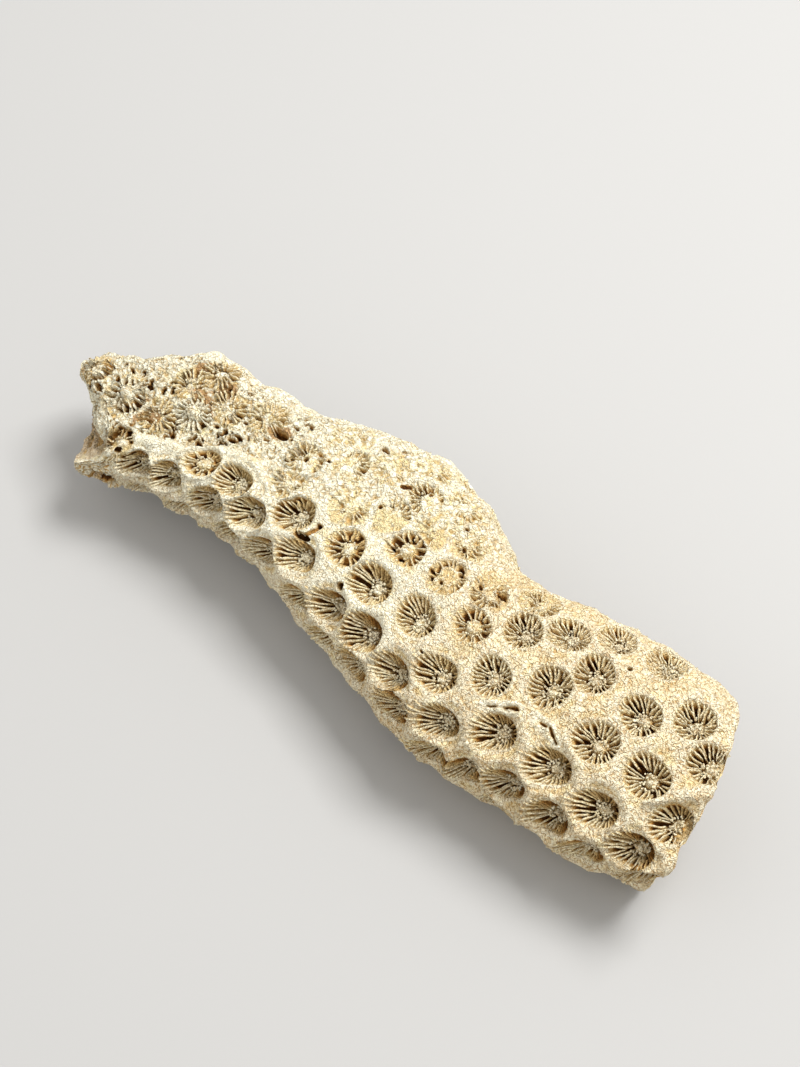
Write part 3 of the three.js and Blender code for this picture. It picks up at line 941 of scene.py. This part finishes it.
def onBody(places, tris, surface, normals, onEnd):  # leaves out what would stick out of the body
    body = treeOf(surface)
    found = np.array([body.find(place)[1:] for place in places.tolist()])
    near, away = found[:, 0].astype(int), found[:, 1]
    x, y, z = places.T
    out = dots(places - surface[near], normals[near])
    outside = (out > np.where(onEnd[near], 0.02, 0.3)) | ((out > 0) & (away > 0.35))
    outside &= (x < -33) | (x > 39)
    outside |= (out > 0.45) & (z < 7)
    outside |= (x > baseFace(y, z) + 0.05) | (x < tipFace(y, z) - 0.05)
    return tris[~outside[tris].any(axis=1)]


def toFrame(places):  # from the branch's own axes to the model's frame
    lowest, highest = cadBox
    middle = [(lowest[0] + highest[0]) / 2, (lowest[1] + highest[1]) / 2, lowest[2]]
    return (places - bodyMiddle) * mm + middle


def makePiece(name, places, tris, normals, looks, material):
    used, tris = np.unique(tris, return_inverse=True)
    tris = tris.reshape(-1, 3)
    mesh = bpy.data.meshes.new(name)
    mesh.vertices.add(len(used))
    mesh.vertices.foreach_set("co", toFrame(places[used]).astype(np.float32).ravel())
    mesh.loops.add(len(tris) * 3)
    mesh.loops.foreach_set("vertex_index", tris.astype(np.int32).ravel())
    mesh.polygons.add(len(tris))
    mesh.polygons.foreach_set("loop_start", np.arange(0, len(tris) * 3, 3, dtype=np.int32))
    for key, values in looks.items():
        kind, field = ("FLOAT", "value") if values.ndim == 1 else ("FLOAT_VECTOR", "vector")
        made = mesh.attributes.new(key, kind, "POINT")
        made.data.foreach_set(field, values[used].astype(np.float32).ravel())
    mesh.update(calc_edges=True)
    mesh.shade_smooth()
    if normals is not None:
        mesh.normals_split_custom_set_from_vertices(normals[used].astype(np.float32))
    mesh.materials.append(material)
    piece = bpy.data.objects.new(name, mesh)
    bpy.context.scene.collection.objects.link(piece)
    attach(piece, "root")
    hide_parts("coral_branch")
    print("made", name, "with", len(tris), "faces")


# the stone: one finish, which the meshes' own values turn pale, dark, stained or dull
stone = {
    "cream": (0.94, 0.82, 0.48),
    "tan": (0.79, 0.60, 0.29),
    "dull": (0.71, 0.57, 0.345),
    "chalkAndHighlight": (0.99, 0.96, 0.77),
    "amber": (0.71, 0.48, 0.19),
    "ochre": (0.45, 0.215, 0.048),
    # near black-brown for the deepest painted shade, with brown staining
    "deepShadeAndStain": (0.105, 0.040, 0.009),
    "patchSize": 7.0,           # mm
    "mottleSize": 1.4,
    "speckSize": 0.32,
    "grainSize": 0.26,
    "grainHeight": 0.21,
    "mazeSize": 1.1,            # of the winding grooves where the stone is worn
    "ribCount": 22,
    "ribHeight": 0.3,
    "roughness": 0.92,
    "shine": 0.1,
}


def fossilCoral():
    material = bpy.data.materials.new("fossilCoral")
    material.use_nodes = True
    tree = material.node_tree
    tree.nodes.clear()

    def add(kind, inputs=(), **settings):
        made = tree.nodes.new("ShaderNode" + kind)
        for key, value in settings.items():
            setattr(made, key, value)
        for key, value in dict(inputs).items():
            if isinstance(value, bpy.types.NodeSocket):
                tree.links.new(value, made.inputs[key])
            else:
                made.inputs[key].default_value = value
        return made

    def work(operation, a, b=0.0):
        return add("Math", {0: a, 1: b}, operation=operation).outputs[0]

    def times(a, b):
        return work("MULTIPLY", a, b)

    def plus(a, b):
        return work("ADD", a, b)

    def less(a, b):
        return work("SUBTRACT", a, b)

    def between(value, low, high):
        return add("MapRange", {0: value, 1: low, 2: high}, interpolation_type="SMOOTHSTEP").outputs[0]

    def attribute(name, output="Fac"):
        return add("Attribute", attribute_name=name).outputs[output]

    where = add("TexCoord").outputs["Object"]
    inMm = add("VectorMath", {0: where, 3: 1000.0}, operation="SCALE").outputs[0]

    def cloud(size, detail=2.0, rough=0.5, output="Fac"):
        inputs = {"Vector": inMm, "Scale": 1 / size, "Detail": detail, "Roughness": rough}
        return add("TexNoise", inputs).outputs[output]

    shadeAndStain, stain, chalkAndHighlight, weather, worn = map(attribute, ("shadeAndStain", "stain", "chalkAndHighlight", "weather", "worn"))
    patches = cloud(stone["patchSize"])
    mottle = cloud(stone["mottleSize"], 3.0, 0.6)
    speck = cloud(stone["speckSize"], 2.0, 0.6)
    wandered = add("VectorMath", {0: inMm, 1: cloud(0.5, 1.0, 0.5, "Color")}, operation="ADD").outputs[0]
    grain = add("TexVoronoi", {"Vector": wandered, "Scale": 1 / stone["grainSize"]}, feature="F1")
    grain = grain.outputs["Distance"]
    maze = work("ABSOLUTE", less(cloud(stone["mazeSize"], 1.0), 0.5))
    maze = less(1.0, between(maze, 0.008, 0.05))
    maze = times(maze, plus(times(worn, 0.6), 0.12))
    plain = less(1.0, work("MAXIMUM", times(worn, 0.65), times(chalkAndHighlight, 0.55)))

    base = (*stone["cream"], 1)
    for amount, name in (
        (between(plus(times(patches, 0.6), times(mottle, 0.6)), 0.48, 0.75), "tan"),
        (times(between(chalkAndHighlight, 0.1, 0.9), between(mottle, 0.2, 0.5)), "chalkAndHighlight"),
        (times(weather, between(mottle, 0.2, 0.75)), "dull"),
        (times(maze, 0.8), "amber"),
        # the gaps between the grains darken: painted shade between grains, over the stone's own speckle
        (times(between(grain, 0.38, 0.75), times(plain, 0.75)), "amber"),
        (times(between(speck, 0.55, 0.75), times(plain, 0.4)), "amber"),
        (times(between(grain, 0.5, 0.85), times(weather, 0.6)), "ochre"),
        (times(between(times(stain, plus(mottle, 0.5)), 0.2, 0.95), 0.8), "ochre"),
        # the hollows' painted shade, with brown staining: amber, then ochre, then near black-brown
        (times(between(shadeAndStain, 0.04, 0.4), 0.9), "amber"),
        (between(shadeAndStain, 0.3, 0.7), "ochre"),
        (between(shadeAndStain, 0.6, 1.0), "deepShadeAndStain"),
    ):
        mixed = add("Mix", {0: amount, 6: base, 7: (*stone[name], 1)}, data_type="RGBA")
        base = mixed.outputs[2]

    # fine ribs over the rim of each cup
    ray = add("SeparateXYZ", {0: attribute("ray", "Vector")}).outputs
    away = work("SQRT", plus(times(ray[0], ray[0]), times(ray[1], ray[1])))
    turn = times(work("ARCTAN2", ray[1], ray[0]), float(stone["ribCount"]))
    nearRim = times(between(away, 0.9, 1.0), less(1.0, between(away, 1.15, 1.5)))
    ribs = times(times(work("SINE", plus(turn, times(mottle, 5.0))), nearRim), ray[2])

    height = less(1.0, times(times(grain, grain), 1.6))
    height = plus(height, times(speck, 0.5))
    height = plus(height, times(ribs, stone["ribHeight"]))
    height = less(height, maze)
    bump = add("Bump", {"Strength": 1.0, "Distance": stone["grainHeight"] * mm, "Height": height})
    shader = add("BsdfPrincipled", {
        "Base Color": base,
        "Normal": bump.outputs[0],
        "Roughness": stone["roughness"],
        "Specular IOR Level": stone["shine"],
    })
    add("OutputMaterial", {"Surface": shader.outputs[0]})
    return material


coralStone = fossilCoral()

points, tris = smoothBranch()
points = np.hstack([points, cornerNormals(points[:, :3], tris)])
points, tris = refine(points, tris)
fits = fitGround(groundAt(points)[points[:, 5] < 0.01])
shaped, unpitted, looks = shapeBody(points, tris, fits)
bodyMiddle = (points[:, :3].min(axis=0) + points[:, :3].max(axis=0)) / 2
bodyMiddle[2] = 0
print("body", len(shaped), "corners, from", shaped.min(axis=0), "to", shaped.max(axis=0))

# painted shade, with some brown staining, where the surface turns in; where it turns out it is paler,
# partly worn pale and partly painted highlight
normals = cornerNormals(shaped, tris)
fine = dots(easing(shaped, tris, 4), normals)
wide = dots(easing(shaped, tris, 16), normals)
looks["shadeAndStain"] = held(looks["shadeAndStain"] + 1.6 * held(fine - 0.02) + 0.8 * held(wide - 0.05))
looks["chalkAndHighlight"] = held(looks["chalkAndHighlight"] + 3.0 * held(-fine - 0.01) + 1.5 * held(-wide - 0.03))

lengths = {
    "branchTip": (-99, -29),
    "branchWaist": (-29, -6),
    "branchShoulder": (-6, 20),
    "branchBase": (20, 99),
}
along = shaped[tris, 0].mean(axis=1)
for name, (start, end) in lengths.items():
    mine = (along >= start) & (along < end)
    makePiece(name, shaped, tris[mine], normals, looks, coralStone)

places, bladeTris, deepShadeAndStain, cell = makeBlades(fits)
grainPlaces, grainTris, grainDeep, grainCell = makeGrains(fits)
grainTris = grainTris + len(places)
places, bladeTris, deepShadeAndStain, cell = map(np.concatenate, (
    (places, grainPlaces), (bladeTris, grainTris), (deepShadeAndStain, grainDeep), (cell, grainCell)))
places[:, 2] = np.maximum(places[:, 2], 0)
bladeTris = onBody(places, bladeTris, unpitted, cornerNormals(unpitted, tris), points[:, 5] > 0.001)
deepShadeAndStain = deepShadeAndStain * np.where(rises[cell] > 0, 0.55, 1)
fromBase = baseFace(places[:, 1], places[:, 2]) - places[:, 0]
deepShadeAndStain = deepShadeAndStain * (0.25 + 0.75 * smooth((fromBase - 0.3) / 1.2))     # pale where the break cuts them
cellStain = np.array([0.3 if one["kind"] == "broken" else 0.0 for one in placed])
bladeLooks = {
    "shadeAndStain": deepShadeAndStain,
    "stain": cellStain[cell],
    "weather": (0.4 * weatherAt(alongs, acrosses))[cell],
    "worn": (0.6 * looseKinds)[cell],
    # blade tops paler than their sides: painted highlight, with the knobs' real chalk
    "chalkAndHighlight": held(0.65 + rises[cell] - deepShadeAndStain * 3),
    "ray": np.zeros((len(places), 3)),
}
cellX = middles[:, 0][cell[bladeTris[:, 0]]]
for name, (start, end) in {"bladesTip": (-99, 2), "bladesBase": (2, 99)}.items():
    mine = (cellX >= start) & (cellX < end)
    makePiece(name, places, bladeTris[mine], None, bladeLooks, coralStone)

# floor, light and camera
studio = {
    "floor": (0.42, 0.415, 0.405),
    "floorRoughness": 0.8,
    "world": 0.85,
    "worldTint": (1.0, 0.99, 0.97),
    # direction, distance, power, size
    "keyLamp": ((0.23, 0.42, 0.88), 0.5, 2.8, 0.2),
    "fillLamp": ((-0.6, -0.55, 0.6), 0.6, 0.25, 0.5),
    "azimuth": 34.8,
    "elevation": 59.5,
    "distance": 0.239,
    "lens": 68.5,
    "aim": (-1.1, 11, 9),       # in the branch's own axes
}


def makeFloor():
    mesh = bpy.data.meshes.new("floor")
    mesh.from_pydata([(-1, -1, 0), (1, -1, 0), (1, 1, 0), (-1, 1, 0)], [], [(0, 1, 2, 3)])
    floor = bpy.data.objects.new("floor", mesh)
    bpy.context.scene.collection.objects.link(floor)
    material = bpy.data.materials.new("floorPaint")
    material.use_nodes = True
    shader = material.node_tree.nodes["Principled BSDF"]
    shader.inputs["Base Color"].default_value = (*studio["floor"], 1)
    shader.inputs["Roughness"].default_value = studio["floorRoughness"]
    mesh.materials.append(material)


def makeLamp(name):
    direction, distance, power, size = studio[name]
    lamp = bpy.data.lights.new(name, "AREA")
    lamp.energy = power
    lamp.size = size
    made = bpy.data.objects.new(name, lamp)
    towards = Vector(direction).normalized()
    made.location = towards * distance
    made.rotation_euler = towards.to_track_quat("Z", "Y").to_euler()
    bpy.context.scene.collection.objects.link(made)


def makeWorld():
    world = bpy.data.worlds.new("softRoom")
    world.use_nodes = True
    background = world.node_tree.nodes["Background"]
    background.inputs[0].default_value = (*studio["worldTint"], 1)
    background.inputs[1].default_value = studio["world"]
    bpy.context.scene.world = world
    bpy.context.scene.view_settings.view_transform = "Standard"


def makeCamera():
    azimuth, elevation = math.radians(studio["azimuth"]), math.radians(studio["elevation"])
    level = math.cos(elevation)
    back = Vector((math.sin(azimuth) * level, -math.cos(azimuth) * level, math.sin(elevation)))
    lens = bpy.data.cameras.new("camera")
    lens.lens = studio["lens"]
    lens.sensor_width = 36
    lens.clip_start = 0.01
    camera = bpy.data.objects.new("camera", lens)
    camera.location = Vector(toFrame(np.array(studio["aim"], float))) + back * studio["distance"]
    camera.rotation_euler = back.to_track_quat("Z", "Y").to_euler()
    bpy.context.scene.collection.objects.link(camera)
    bpy.context.scene.camera = camera


makeFloor()
makeLamp("keyLamp")
makeLamp("fillLamp")
makeWorld()
makeCamera()
